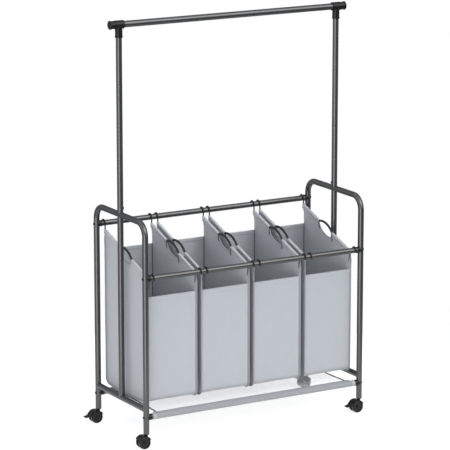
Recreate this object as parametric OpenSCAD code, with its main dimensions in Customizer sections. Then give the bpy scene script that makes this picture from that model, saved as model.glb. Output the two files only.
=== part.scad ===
// Laundry sorter on wheels: four cloth bags hang on wire handles in a steel tube
// frame, with a net shelf below them and a clothes rail above them.
// Millimetres, +Z up, front towards -Y. The origin lies on the floor, midway
// between the four legs.

/* [Frame] */
// Left leg plane to right leg plane, centre to centre
frame_w = 910; // [720:5:1200]
// Front legs to rear legs, centre to centre
frame_d = 372; // [320:2:460]
// Height of the side loops' top rail, at its centre
loop_z = 825; // [790:5:1000]
// Height of the legs' lower ends
leg_bottom_z = 53; // [52:1:60]
// Height of the side frames' cross tubes, at the centre
cross_z = 141; // [130:1:170]
// Centre-line radius of the side loops' bends
loop_bend_r = 50; // [40:1:70]
// Outer diameter of the side loops, cross tubes and centre posts
side_d = 22; // [20:0.5:25]
// Wall of every frame tube
tube_wall = 1; // [0.8:0.1:1.5]

/* [Bars] */
// Outer diameter of the four long bars
bar_d = 21; // [19:0.5:22]
// Height of the rear bar that carries the bags
rear_bar_z = 755; // [720:5:770]
// Height of the front bar that carries the bags
front_bar_z = 626; // [600:5:660]
// Height of the two shelf bars
lower_bar_z = 113.5; // [105:0.5:120]
// Length of the plastic collar at each end of a bar
collar_len = 8; // [6:0.5:12]
// How much wider than the bar a collar is
collar_extra = 2.4; // [2:0.2:4]
// Depth of a bar in its collar
collar_grip = 5; // [3:0.5:6]

/* [Bolts] */
// Diameter of the bolts that hold the bars to the legs
bolt_d = 6; // [5:0.5:8]
// Diameter of a bolt head
bolt_head_d = 10.5; // [9:0.5:13]
// Height of a bolt head
bolt_head_h = 3.4; // [2.5:0.1:5]
// Hexagon socket across the flats
bolt_socket = 4; // [3:0.5:5]
// Length of a bolt past the leg's inner wall
bolt_reach = 16; // [12:1:25]
// Radial clearance of a bolt in its holes
bolt_clear = 0.25; // [0.1:0.05:0.5]

/* [Clothes rail] */
// Height of the clothes rail, at its centre
rail_z = 1514; // [1400:10:1700]
// Outer diameter of the clothes rail
rail_d = 24; // [22:0.5:26]
// Outer diameter of the upper posts
post_d = 22; // [20:0.5:22]
// Rail past the centre of each post
rail_overhang = 34; // [28:1:60]
// Wall of the plastic tee connectors
tee_wall = 2.4; // [2:0.2:4]
// Inner end of a tee's rail sleeve, from the post's centre
tee_inner = 18; // [16:1:30]
// Depth of a tee's post socket below the rail's centre
tee_drop = 46; // [36:1:60]
// Diameter of the end caps' discs
cap_d = 32; // [30:0.5:36]
// Thickness of the end caps' discs
cap_t = 4; // [3:0.5:6]
// Length of the spigot that an upper post stands on
spigot_len = 60; // [40:5:90]
// Diameter of the screw that locks an upper post
lock_screw_d = 5; // [4:0.5:6]

/* [Shelf] */
// Half the length of the shelf's sleeves
shelf_half_w = 418; // [300:1:418]
// Thickness of the sleeves' cloth
sleeve_t = 1; // [0.8:0.1:1.5]
// Thickness of the net
net_t = 1.2; // [1:0.1:2]
// Height of the net over the shelf bars' centre
net_rise = 8; // [4:0.5:9]
// Width of the bound edges
binding_w = 8; // [6:1:12]
// Thickness of the bound edges
binding_t = 2.4; // [2:0.2:3.5]
// Length of the rings that hold the sleeves' ends
ring_len = 13; // [8:1:16]

/* [Bags] */
// Distance from one bag's centre to the next
bag_pitch = 220; // [200:1:230]
// Half the distance between a bag's two wires
bag_half_w = 97; // [80:1:98]
// Thickness of the bags' walls
bag_t = 2; // [1.5:0.1:3]
// Outer face of the front wall, behind the front bar's centre
bag_front_gap = 30; // [24:1:40]
// Outer face of the rear wall, in front of the rear bar's centre
bag_rear_gap = 20; // [16:1:40]
// Height of the bags' floor
bag_floor_z = 157; // [145:1:200]
// Height of the front wall's top edge
bag_front_top = 548; // [500:1:560]
// Height of the rear wall's top edge
bag_rear_top = 661; // [600:1:690]
// How far the side walls stand past the other walls and the floor
bag_seam = 6; // [3:1:8]
// Diameter of the coated wires
wire_d = 5; // [4.6:0.2:5.4]
// Gap between a wire hook and its bar
hook_gap = 0.4; // [0.3:0.1:1]
// Straight end of each hook below the bar's centre
hook_tip = 7; // [4:1:12]
// Drop of the wire below the rear bar's centre before it turns forward
rear_drop = 24; // [20:1:34]
// Drop of the wire's lowest corner below the front bar's centre
front_drop = 14; // [13:1:20]
// Centre of the handle, in front of the bags' middle
handle_y = 12; // [0:1:30]
// Length of the handle
handle_len = 98; // [80:1:120]
// Rise of the handle's bend over the straight wire
handle_rise = 26; // [20:1:32]
// Depth of the hand hole below the straight wire
hole_depth = 30; // [20:1:40]
// Outer diameter of the cloth hem around a wire
hem_d = 8.6; // [8.2:0.2:9.4]
// Radial gap between a wire and its hem
hem_clear = 0.1; // [0.05:0.05:0.3]

/* [Casters] */
// Diameter of the wheels
wheel_d = 45; // [42:0.5:46]
// Width of one wheel
wheel_w = 11; // [9:0.5:12]
// Distance of the wheels' axle behind the swivel axis
trail = 13; // [11:0.5:16]
// Thickness of the housing between the wheels
web_t = 11; // [10.5:0.5:13]
// Gap between a wheel and the housing
wheel_gap = 0.8; // [0.5:0.1:1.5]
// Thickness of the housing's hood
hood_t = 2.4; // [2:0.2:3]
// Diameter of the axles
axle_d = 5; // [4:0.5:6]
// Diameter of the swivel stems
stem_d = 7; // [6:0.5:8]
// Radial running clearance of the axles, stems and brake pins
run_clear = 0.05; // [0.03:0.01:0.08]
// Reach of the brake lever's tip behind the swivel axis
brake_reach = 57; // [54:1:62]
// Half the width of the brake lever's pedal
brake_half_w = 10; // [8:0.5:10.5]

/* [Hidden] */

$fn = 64;
cut = 1;                       // how far a cutting tool passes a face
left = -1;
right = 1;
front = -1;
rear = 1;
leg_x = frame_w / 2;
leg_y = frame_d / 2;
side_r = side_d / 2;
bar_r = bar_d / 2;
bars = [[rear, rear_bar_z], [front, front_bar_z], [rear, lower_bar_z], [front, lower_bar_z]];
bar_half = leg_x - side_r - (collar_len - collar_grip);
collar_d = bar_d + collar_extra;
rail_half = leg_x + rail_overhang;
post_foot = loop_z + sqrt(side_r * side_r - post_d * post_d / 4);
post_top = rail_z - rail_d / 2 - 1;
lock_z = loop_z + side_r + 12;
shelf_z = lower_bar_z + net_rise;
wheel_z = wheel_d / 2;
wheel_in = web_t / 2 + wheel_gap / 2;
wheel_out = wheel_in + wheel_w;
hood_r = wheel_z + wheel_gap + hood_t;
neck_top = leg_bottom_z - 3.3;
brake_pin = [-trail - hood_r * 1.02 * cos(20), wheel_z + hood_r * 1.02 * sin(20)];
brake_pin_d = 3;
hook_r = bar_r + hook_gap + wire_d / 2;
wire_rear_y = leg_y - hook_r;
wire_front_y = -leg_y + hook_r;
hem_rear = [wire_rear_y, rear_bar_z - rear_drop];
hem_front = [wire_front_y, front_bar_z - front_drop];
hem_dir = (hem_front - hem_rear) / norm(hem_front - hem_rear);
hem_up = [-hem_dir[1], hem_dir[0]] * -1;
handle_mid = on_hem(handle_y);
handle_rear = handle_mid - hem_dir * handle_len / 2;
handle_front = handle_mid + hem_dir * handle_len / 2;
wire_path = [
    [leg_y + hook_r, rear_bar_z - hook_tip],
    [leg_y + hook_r, rear_bar_z + hook_r],
    [wire_rear_y, rear_bar_z + hook_r],
    hem_rear,
    handle_rear,
    handle_mid + hem_up * handle_rise,
    handle_front,
    hem_front,
    [wire_front_y, front_bar_z + hook_r],
    [-leg_y - hook_r, front_bar_z + hook_r],
    [-leg_y - hook_r, front_bar_z - hook_tip]
];
wire_bends = [0, hook_r, hook_r, 10, 10, 90, 10, 8, hook_r, hook_r, 0];
wire_step = 18;                // turn from one ring of a bent wire to the next
wire_sides = 10;
bag_front_y = -leg_y + bag_front_gap;
bag_rear_y = leg_y - bag_rear_gap;

// The point of the straight hem line at a given distance from the bags' middle.
function on_hem(y) = hem_rear + hem_dir * (y - hem_rear[0]) / hem_dir[0];

// Angle of a flat vector, and the signed turn at the middle of three points.
function heading(v) = atan2(v[1], v[0]);
function turn(a, b, c) =
    let (t = heading(c - b) - heading(b - a)) t > 180 ? t - 360 : t < -180 ? t + 360 : t;
// Length that a bend of radius r takes off each leg of a corner.
function setback(a, b, c, r) = r * tan(abs(turn(a, b, c)) / 2);

// Turns a shape drawn in the XY plane into the YZ plane.
module in_yz() {
    rotate([90, 0, 90]) children();
}

// Turns a cylinder that stands along +Z so that it lies along +X or +Y.
module along_x() {
    rotate([0, 90, 0]) children();
}

module along_y() {
    rotate([-90, 0, 0]) children();
}

// A round bar in the XY plane from a to b.
module flat_rod(a, b, d) {
    if (norm(b - a) > 0.001)
        translate([a[0], a[1], 0])
            rotate([0, 90, heading(b - a)])
                cylinder(d = d, h = norm(b - a));
}

// The bend of a round bar at corner b, between the directions of a and c.
module flat_bend(a, b, c, r, d) {
    t = turn(a, b, c);
    u = (b - a) / norm(b - a);
    start = b - u * setback(a, b, c, r);
    centre = start + [-u[1], u[0]] * sign(t) * r;
    first = heading(start - centre) + min(t, 0);
    translate([centre[0], centre[1], 0])
        rotate([0, 0, first])
            rotate_extrude(angle = abs(t))
                translate([r, 0]) circle(d = d);
}

// A round bar bent in the XY plane along points, with a bend radius at each.
module bent_rod(points, bends, d) {
    last = len(points) - 1;
    back = [for (i = [0:last]) i == 0 || i == last ? 0
        : setback(points[i - 1], points[i], points[i + 1], bends[i])];
    for (i = [0:last - 1]) {
        u = (points[i + 1] - points[i]) / norm(points[i + 1] - points[i]);
        flat_rod(points[i] + u * back[i], points[i + 1] - u * back[i + 1], d);
    }
    for (i = [1:last - 1])
        flat_bend(points[i - 1], points[i], points[i + 1], bends[i], d);
}

// Two discs joined by a straight link of their width, drawn in the XY plane.
module link_2d(a, b, r) {
    translate(a) circle(r = r);
    translate(b) circle(r = r);
    translate(a) rotate(heading(b - a)) translate([0, -r]) square([norm(b - a), 2 * r]);
}

// ---- Frame ----

module loop_rod(d, extra) {
    bottom = leg_bottom_z - extra;
    in_yz() bent_rod(
        [[-leg_y, bottom], [-leg_y, loop_z], [leg_y, loop_z], [leg_y, bottom]],
        [0, loop_bend_r, loop_bend_r, 0], d);
}

// The legs and the top rail as solid bars, to cope other tubes to.
module leg_bars(x, extra = 0) {
    for (y = [front, rear])
        translate([x, y * leg_y, leg_bottom_z - cut])
            cylinder(d = side_d + extra, h = loop_z - loop_bend_r - leg_bottom_z + cut);
}

module bolt_holes() {
    for (b = bars)
        translate([-frame_w, b[0] * leg_y, b[1]])
            along_x() cylinder(d = bolt_d + 2 * bolt_clear, h = 2 * frame_w);
}

module side_loop(side) {
    difference() {
        translate([side * leg_x, 0, 0]) loop_rod(side_d, 0);
        translate([side * leg_x, 0, 0]) loop_rod(side_d - 2 * tube_wall, cut);
        bolt_holes();
    }
}

module cross_tube(side) {
    difference() {
        translate([side * leg_x, -leg_y, cross_z]) along_y() cylinder(d = side_d, h = frame_d);
        translate([side * leg_x, -leg_y - cut, cross_z])
            along_y() cylinder(d = side_d - 2 * tube_wall, h = frame_d + 2 * cut);
        leg_bars(side * leg_x);
    }
}

module centre_post(side) {
    difference() {
        translate([side * leg_x, 0, cross_z]) cylinder(d = side_d, h = loop_z - cross_z);
        translate([side * leg_x, 0, cross_z - cut])
            cylinder(d = side_d - 2 * tube_wall, h = loop_z - cross_z + 2 * cut);
        for (z = [cross_z, loop_z])
            translate([side * leg_x, -frame_d, z]) along_y() cylinder(d = side_d, h = 2 * frame_d);
    }
}

module long_bar(y, z) {
    translate([-bar_half, y * leg_y, z]) along_x() difference() {
        cylinder(d = bar_d, h = 2 * bar_half);
        translate([0, 0, -cut])
            cylinder(d = bar_d - 2 * tube_wall, h = 2 * bar_half + 2 * cut);
    }
}

// A collar is coped to the leg on one side and takes the bar's end on the other.
module bar_end_collars() {
    color("#17181a") difference() {
        for (side = [left, right], b = bars)
            translate([side * leg_x, b[0] * leg_y, b[1]])
                rotate([0, -90 * side, 0])
                    cylinder(d = collar_d, h = side_r + collar_len);
        for (b = bars)
            translate([-bar_half, b[0] * leg_y, b[1]])
                along_x() cylinder(d = bar_d, h = 2 * bar_half);
        for (side = [left, right])
            leg_bars(side * leg_x);
        bolt_holes();
    }
}

module bar_thread_inserts() {
    color("#8d8f92") for (side = [left, right], b = bars)
        translate([side * bar_half, b[0] * leg_y, b[1]])
            rotate([0, -90 * side, 0]) difference() {
                cylinder(d = bar_d - 2 * tube_wall, h = bolt_reach + 4);
                translate([0, 0, -cut]) cylinder(d = bolt_d, h = bolt_reach + 4 + 2 * cut);
            }
}

// Domed heads outside the legs; the shanks run through leg and collar into the bars.
module bar_bolts() {
    color("#26272a") for (side = [left, right], b = bars)
        translate([side * leg_x, b[0] * leg_y, b[1]])
            rotate([0, -90 * side, 0]) bolt();
}

module bolt() {
    dome_r = (bolt_head_d * bolt_head_d / 4 + bolt_head_h * bolt_head_h) / (2 * bolt_head_h);
    difference() {
        union() {
            translate([0, 0, -side_r]) cylinder(d = bolt_d, h = 2 * side_r + bolt_reach);
            translate([0, 0, -side_r]) intersection() {
                translate([0, 0, dome_r - bolt_head_h]) sphere(r = dome_r);
                translate([0, 0, -bolt_head_h]) cylinder(d = bolt_head_d, h = bolt_head_h);
            }
        }
        translate([0, 0, -side_r - bolt_head_h - cut])
            cylinder(d = bolt_socket / cos(30), h = bolt_head_h * 0.6 + cut, $fn = 6);
    }
}

// ---- Clothes rail ----

module upper_post(side) {
    difference() {
        translate([side * leg_x, 0, loop_z]) cylinder(d = post_d, h = post_top - loop_z);
        translate([side * leg_x, 0, loop_z - cut])
            cylinder(d = post_d - 2 * tube_wall, h = post_top - loop_z + 2 * cut);
        translate([side * leg_x, -frame_d, loop_z]) along_y() cylinder(d = side_d, h = 2 * frame_d);
        lock_hole(side);
    }
}

module lock_hole(side) {
    translate([side * leg_x, 0, lock_z])
        rotate([0, -90 * side, 0])
            cylinder(d = lock_screw_d, h = side_d);
}

module post_spigots() {
    color("#4b4c4e") for (side = [left, right])
        difference() {
            translate([side * leg_x, 0, loop_z])
                cylinder(d = post_d - 2 * tube_wall, h = spigot_len);
            translate([side * leg_x, 0, loop_z - cut])
                cylinder(d = post_d - 4 * tube_wall, h = spigot_len + 2 * cut);
            translate([side * leg_x, -frame_d, loop_z])
                along_y() cylinder(d = side_d, h = 2 * frame_d);
            lock_hole(side);
        }
}

module post_screws() {
    color("#1c1d1f") for (side = [left, right])
        translate([side * (leg_x - post_d / 2), 0, lock_z]) rotate([0, -90 * side, 0]) {
            translate([0, 0, -2 * tube_wall - 4]) cylinder(d = lock_screw_d, h = 2 * tube_wall + 4);
            difference() {
                translate([0, 0, -tube_wall]) cylinder(d = lock_screw_d + 3.5, h = tube_wall + 2.4);
                translate([-post_d, 0, -post_d / 2]) along_x()
                    cylinder(d = post_d, h = 2 * post_d);
            }
        }
}

module tee_connector(side) {
    sleeve_d = rail_d + 2 * tee_wall;
    socket_d = post_d + 2 * tee_wall;
    translate([side * leg_x, 0, rail_z]) difference() {
        union() {
            translate([-side * tee_inner, 0, 0]) rotate([0, 90 * side, 0])
                cylinder(d = sleeve_d, h = tee_inner + rail_overhang);
            translate([-side * tee_inner, 0, 0]) rotate([0, 90 * side, 0])
                cylinder(d = sleeve_d + 2, h = 2 * tee_inner);
            translate([0, 0, -tee_drop]) cylinder(d = socket_d, h = tee_drop);
            translate([0, 0, -tee_drop]) cylinder(d = socket_d + 1.6, h = 5);
        }
        translate([-rail_half, 0, 0]) along_x() cylinder(d = rail_d, h = 2 * rail_half);
        translate([0, 0, -tee_drop - cut])
            cylinder(d = post_d, h = post_top - rail_z + tee_drop + cut);
    }
}

module hanging_rail() {
    color("#5b5c5e") translate([-rail_half, 0, rail_z]) along_x() difference() {
        cylinder(d = rail_d, h = 2 * rail_half);
        translate([0, 0, -cut])
            cylinder(d = rail_d - 2 * tube_wall, h = 2 * rail_half + 2 * cut);
    }
}

module rail_end_caps() {
    color("#17181a") for (side = [left, right])
        translate([side * rail_half, 0, rail_z]) rotate([0, 90 * side, 0]) {
            cylinder(d = cap_d, h = cap_t - 1.5);
            translate([0, 0, cap_t - 1.5]) cylinder(d1 = cap_d, d2 = cap_d - 3, h = 1.5);
            translate([0, 0, -14]) cylinder(d = rail_d - 2 * tube_wall, h = 14);
        }
}

// ---- Shelf ----

module shelf_bars(d, half) {
    for (y = [front, rear])
        translate([-half, y * leg_y, lower_bar_z]) along_x() cylinder(d = d, h = 2 * half);
}

module shelf_sleeves() {
    color("#a3a5a9") difference() {
        shelf_bars(bar_d + 2 * sleeve_t, shelf_half_w);
        shelf_bars(bar_d, shelf_half_w + cut);
    }
}

module shelf_net() {
    half = shelf_half_w - 2 * binding_w;
    color("#e6e6ea") difference() {
        translate([-half, -leg_y, shelf_z]) cube([2 * half, frame_d, net_t]);
        shelf_bars(bar_d + 2 * sleeve_t, shelf_half_w + cut);
    }
}

module shelf_bindings() {
    color("#5a5b5f") difference() {
        for (side = [left, right])
            translate([side * (shelf_half_w - 1.5 * binding_w) - binding_w / 2, -leg_y,
                       shelf_z + net_t / 2 - binding_t / 2])
                cube([binding_w, frame_d, binding_t]);
        shelf_bars(bar_d + 2 * sleeve_t, shelf_half_w + cut);
    }
}

module shelf_end_rings() {
    color("#c9cacc") for (side = [left, right], y = [front, rear])
        translate([side * shelf_half_w, y * leg_y, lower_bar_z]) rotate([0, 90 * side, 0])
            difference() {
                cylinder(d = bar_d + 2 * sleeve_t, h = ring_len);
                translate([0, 0, -cut]) cylinder(d = bar_d, h = ring_len + 2 * cut);
            }
}

// ---- Casters ----

module leg_inserts() {
    color("#17181a") for (x = [left, right], y = [front, rear])
        translate([x * leg_x, y * leg_y, leg_bottom_z]) difference() {
            union() {
                cylinder(d = side_d - 2 * tube_wall, h = 24);
                translate([0, 0, -1.4]) cylinder(d = side_d, h = 1.4);
                translate([0, 0, -3]) cylinder(d1 = side_d - 4, d2 = side_d, h = 1.6);
            }
            translate([0, 0, -4]) cylinder(d = stem_d, h = 4 + 20);
        }
}

module caster_stems() {
    color("#9a9c9f") for (x = [left, right], y = [front, rear])
        translate([x * leg_x, y * leg_y, 0]) {
            translate([0, 0, wheel_z + 8]) cylinder(d = stem_d, h = leg_bottom_z + 20 - wheel_z - 8);
        }
}

module at_leg(x, y) {
    translate([x * leg_x, y * leg_y, 0]) children();
}

// Drawn in the XZ plane as XY, then stood up with its thickness along Y.
module standing(thick) {
    rotate([90, 0, 0]) linear_extrude(thick, center = true) children();
}

module hood_2d(inner, from, to) {
    reach = 2 * hood_r;
    intersection() {
        difference() {
            circle(r = hood_r);
            circle(r = inner);
        }
        polygon([[0, 0], for (a = [from:(to - from) / 6:to + 0.01]) [cos(a), sin(a)] * reach]);
    }
}

module caster_housing(brake) {
    wheel_at = [-trail, 0, wheel_z];
    difference() {
        union() {
            translate(wheel_at) standing(web_t) circle(r = wheel_z - 3);
            translate(wheel_at) standing(2 * wheel_out) hood_2d(wheel_z + wheel_gap, 22, 152);
            translate(wheel_at) standing(web_t) hood_2d(wheel_z - 4, 22, 152);
            translate([0, 0, wheel_z]) cylinder(d = web_t, h = neck_top - wheel_z);
            translate([0, 0, neck_top - 3]) cylinder(d1 = web_t, d2 = side_d - 5, h = 3);
            if (brake) for (y = [front, rear])
                translate([0, y * (brake_half_w + 2.2), 0]) standing(2.4) brake_ear_2d();
        }
        translate([0, 0, wheel_z + 7])
            cylinder(r = stem_d / 2 + run_clear, h = leg_bottom_z);
        translate(wheel_at) standing(2 * web_t) circle(d = axle_d);
        if (brake) translate([brake_pin[0], 0, brake_pin[1]])
            standing(4 * brake_half_w) circle(d = brake_pin_d);
    }
}

module brake_ear_2d() {
    top = [-trail + (hood_r - 1) * cos(128), wheel_z + (hood_r - 1) * sin(128)];
    difference() {
        link_2d(brake_pin, top, 3.2);
        translate([-trail, wheel_z]) circle(r = wheel_z + wheel_gap);
    }
}

module caster_axle() {
    head_t = 1.4;
    translate([-trail, 0, wheel_z]) {
        standing(2 * wheel_out) circle(d = axle_d);
        for (y = [front, rear])
            translate([0, y * (wheel_out + head_t / 2), 0]) standing(head_t) circle(d = axle_d + 3);
    }
}

// One wheel, turned about the axle: rounded tread, dished outer face, running bore.
module wheel(side) {
    r = wheel_z;
    round_r = 2.5;
    translate([-trail, side * wheel_in, wheel_z]) rotate([-90 * side, 0, 0])
        rotate_extrude() difference() {
            union() {
                translate([axle_d / 2 + run_clear, 0])
                    square([r - axle_d / 2 - run_clear, wheel_w - round_r]);
                translate([axle_d / 2 + run_clear, 0])
                    square([r - round_r - axle_d / 2 - run_clear, wheel_w - 0.2]);
                translate([r - round_r, wheel_w - round_r - 0.2]) circle(r = round_r);
            }
            translate([8, wheel_w - 2.2]) square([r - 8 - 4.5, 3]);
        }
}

module brake_lever() {
    tip = [-brake_reach, wheel_z + 3];
    heel = [-brake_reach + 9, wheel_z + 5];
    difference() {
        union() {
            translate([0, 0, 0]) standing(2 * brake_half_w) link_2d(heel, tip, 1.8);
            standing(2 * brake_half_w) link_2d(brake_pin, heel, 2.2);
            standing(2 * brake_half_w) translate(brake_pin) circle(r = 3.2);
        }
        translate([brake_pin[0], 0, brake_pin[1]])
            standing(4 * brake_half_w) circle(r = brake_pin_d / 2 + run_clear);
        translate([-trail, 0, wheel_z]) standing(4 * brake_half_w) circle(r = wheel_z + 0.5);
    }
}

module brake_pin_rod() {
    translate([brake_pin[0], 0, brake_pin[1]])
        standing(2 * brake_half_w + 6.8) circle(d = brake_pin_d);
}

// ---- Bags ----

// The line of a bent wire, with a few points around each rounded corner.
function corner_line(a, b, c, r) =
    let (
        t = turn(a, b, c),
        u = (b - a) / norm(b - a),
        start = b - u * setback(a, b, c, r),
        centre = start + [-u[1], u[0]] * sign(t) * r,
        first = heading(start - centre),
        steps = max(2, ceil(abs(t) / wire_step))
    )
    [for (k = [0:steps]) centre + r * [cos(first + t * k / steps), sin(first + t * k / steps)]];
function rounded_line(points, bends) = [
    points[0],
    for (i = [1:len(points) - 2])
        each corner_line(points[i - 1], points[i], points[i + 1], bends[i]),
    points[len(points) - 1]
];
function distinct(line) =
    [for (k = [0:len(line) - 1]) if (k == 0 || norm(line[k] - line[k - 1]) > 0.01) line[k]];
function direction(line, k) =
    let (d = line[min(k + 1, len(line) - 1)] - line[max(k - 1, 0)]) d / norm(d);

// A round wire swept along a line in the XY plane, as rings joined by facets.
module swept_wire(line, d, sides) {
    last = len(line) - 1;
    points = [for (k = [0:last]) let (u = direction(line, k))
        for (j = [0:sides - 1]) let (a = 360 * j / sides)
            [line[k][0] - u[1] * cos(a) * d / 2, line[k][1] + u[0] * cos(a) * d / 2,
             sin(a) * d / 2]];
    walls = [for (k = [0:last - 1]) for (j = [0:sides - 1]) let (n = (j + 1) % sides)
        [k * sides + j, (k + 1) * sides + j, (k + 1) * sides + n, k * sides + n]];
    first_end = [for (j = [0:sides - 1]) j];
    last_end = [for (j = [0:sides - 1]) last * sides + sides - 1 - j];
    polyhedron(points, concat(walls, [first_end, last_end]), convexity = 6);
}

module bag_wire(x) {
    translate([x, 0, 0]) in_yz()
        swept_wire(distinct(rounded_line(wire_path, wire_bends)), wire_d, wire_sides);
}

// Outline of a side wall: it follows the wires on top, dips at the hand hole and
// widens near the bars.
module bag_side_2d() {
    low = bag_floor_z - bag_seam;
    front_y = bag_front_y - bag_seam;
    rear_y = bag_rear_y + bag_seam;
    corner = 14;
    ear = wire_d / 2 + 1.2;
    polygon([
        for (a = [180:15:270]) [front_y + corner, low + corner] + corner * [cos(a), sin(a)],
        for (a = [270:15:360]) [rear_y - corner, low + corner] + corner * [cos(a), sin(a)],
        [rear_y, hem_rear[1] - 60],
        [wire_rear_y + ear, hem_rear[1] - 14],
        hem_rear + [ear, 4],
        hem_rear + [-ear, 2],
        handle_rear,
        for (a = [10:10:170]) handle_mid - hem_dir * handle_len / 2 * cos(a)
            - hem_up * hole_depth * sin(a),
        handle_front,
        hem_front + [8, 3],
        [wire_front_y - ear, hem_front[1] - 2],
        [wire_front_y - ear, hem_front[1] - 16],
        [front_y, hem_front[1] - 60]
    ]);
}

// Straight hems: from each ear to the handle, as a solid or as the bore in it.
module bag_hems(d, extra) {
    flat_rod(hem_rear + hem_dir * 14 - hem_dir * extra, handle_rear - hem_dir * (6 - extra), d);
    flat_rod(handle_front + hem_dir * (6 - extra), hem_front - hem_dir * (16 - extra), d);
}

module bag_fabric(x) {
    inner = bag_half_w - bag_t / 2;
    depth = bag_rear_y - bag_front_y;
    difference() {
        union() {
            for (side = [left, right]) translate([x + side * bag_half_w, 0, 0]) {
                in_yz() linear_extrude(bag_t, center = true) bag_side_2d();
                in_yz() bag_hems(hem_d, 0, $fn = 24);
            }
            translate([x - inner, bag_front_y, bag_floor_z])
                cube([2 * inner, bag_t, bag_front_top - bag_floor_z]);
            translate([x - inner, bag_rear_y - bag_t, bag_floor_z])
                cube([2 * inner, bag_t, bag_rear_top - bag_floor_z]);
            translate([x - inner, bag_front_y, bag_floor_z]) cube([2 * inner, depth, bag_t]);
        }
        for (side = [left, right]) translate([x + side * bag_half_w, 0, 0])
            in_yz() bent_rod(wire_path, wire_bends, wire_d + 2 * hem_clear, $fn = 20);
    }
}

function bag_x(i) = (i - 2.5) * bag_pitch;

module fabric_of(i) {
    color("#aeb2b7") bag_fabric(bag_x(i));
}

module wire_of(i, side) {
    color("#1a1b1d") bag_wire(bag_x(i) + side * bag_half_w);
}

module frame_colour() {
    color("#5b5c5e") children();
}

module plastic() {
    color("#17181a") children();
}

module steel() {
    color("#9a9c9f") children();
}

frame_colour() side_loop(left);  // left_side_loop
frame_colour() side_loop(right);  // right_side_loop
frame_colour() cross_tube(left);  // left_cross_tube
frame_colour() cross_tube(right);  // right_cross_tube
frame_colour() centre_post(left);  // left_centre_post
frame_colour() centre_post(right);  // right_centre_post
frame_colour() long_bar(rear, rear_bar_z);  // rear_upper_bar
frame_colour() long_bar(front, front_bar_z);  // front_upper_bar
frame_colour() long_bar(rear, lower_bar_z);  // rear_lower_bar
frame_colour() long_bar(front, lower_bar_z);  // front_lower_bar
bar_end_collars();
bar_thread_inserts();
bar_bolts();
frame_colour() upper_post(left);  // left_upper_post
frame_colour() upper_post(right);  // right_upper_post
post_spigots();
post_screws();
plastic() tee_connector(left);  // left_tee_connector
plastic() tee_connector(right);  // right_tee_connector
hanging_rail();
rail_end_caps();
leg_inserts();
caster_stems();
shelf_net();
shelf_sleeves();
shelf_bindings();
shelf_end_rings();

plastic() at_leg(left, front) caster_housing(false);  // front_left_caster_housing
steel() at_leg(left, front) caster_axle();  // front_left_caster_axle
plastic() at_leg(left, front) wheel(front);  // front_left_wheel_front
plastic() at_leg(left, front) wheel(rear);  // front_left_wheel_rear
plastic() at_leg(right, front) caster_housing(true);  // front_right_caster_housing
steel() at_leg(right, front) caster_axle();  // front_right_caster_axle
plastic() at_leg(right, front) wheel(front);  // front_right_wheel_front
plastic() at_leg(right, front) wheel(rear);  // front_right_wheel_rear
plastic() at_leg(left, rear) caster_housing(true);  // rear_left_caster_housing
steel() at_leg(left, rear) caster_axle();  // rear_left_caster_axle
plastic() at_leg(left, rear) wheel(front);  // rear_left_wheel_front
plastic() at_leg(left, rear) wheel(rear);  // rear_left_wheel_rear
plastic() at_leg(right, rear) caster_housing(false);  // rear_right_caster_housing
steel() at_leg(right, rear) caster_axle();  // rear_right_caster_axle
plastic() at_leg(right, rear) wheel(front);  // rear_right_wheel_front
plastic() at_leg(right, rear) wheel(rear);  // rear_right_wheel_rear
plastic() at_leg(right, front) brake_lever();  // front_right_brake_lever
steel() at_leg(right, front) brake_pin_rod();  // front_right_brake_pin
plastic() at_leg(left, rear) brake_lever();  // rear_left_brake_lever
steel() at_leg(left, rear) brake_pin_rod();  // rear_left_brake_pin

fabric_of(1);  // bag_1_fabric
wire_of(1, left);  // bag_1_left_wire
wire_of(1, right);  // bag_1_right_wire
fabric_of(2);  // bag_2_fabric
wire_of(2, left);  // bag_2_left_wire
wire_of(2, right);  // bag_2_right_wire
fabric_of(3);  // bag_3_fabric
wire_of(3, left);  // bag_3_left_wire
wire_of(3, right);  // bag_3_right_wire
fabric_of(4);  // bag_4_fabric
wire_of(4, left);  // bag_4_left_wire
wire_of(4, right);  // bag_4_right_wire
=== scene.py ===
"""Laundry sorter on wheels: its cloth, wires, net, finishes, light and camera.

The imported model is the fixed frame. The plastic fittings and casters keep their own
shapes and get finishes. The bags, their wires and the net shelf are surfaces worked
out here with numpy, placed by the boxes of the nodes that they stand for. Lengths
are metres, +Z is up and the front faces -Y.
"""
from __future__ import annotations

import logging
import math
from dataclasses import dataclass
from enum import Enum
from typing import Any, Iterable

import bmesh
import bpy
import numpy as np
from mathutils import Euler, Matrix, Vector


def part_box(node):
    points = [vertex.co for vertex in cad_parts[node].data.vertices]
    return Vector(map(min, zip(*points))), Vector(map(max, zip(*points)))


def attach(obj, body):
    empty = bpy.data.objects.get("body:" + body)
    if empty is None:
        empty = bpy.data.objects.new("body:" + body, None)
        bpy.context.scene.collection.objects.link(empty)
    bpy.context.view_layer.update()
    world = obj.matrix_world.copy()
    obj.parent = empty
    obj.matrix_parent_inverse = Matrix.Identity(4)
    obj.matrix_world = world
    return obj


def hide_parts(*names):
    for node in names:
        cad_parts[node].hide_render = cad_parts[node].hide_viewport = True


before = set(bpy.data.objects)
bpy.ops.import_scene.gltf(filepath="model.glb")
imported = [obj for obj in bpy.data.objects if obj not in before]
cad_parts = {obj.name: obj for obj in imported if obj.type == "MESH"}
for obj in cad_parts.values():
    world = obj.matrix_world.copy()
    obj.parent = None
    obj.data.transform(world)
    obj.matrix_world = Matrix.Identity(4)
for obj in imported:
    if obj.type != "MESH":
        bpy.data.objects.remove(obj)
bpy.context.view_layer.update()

MM = 0.001
X_AXIS = np.array([1.0, 0.0, 0.0])
FRAME_BODY = "frame"
log = logging.getLogger("laundry_sorter")


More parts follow.
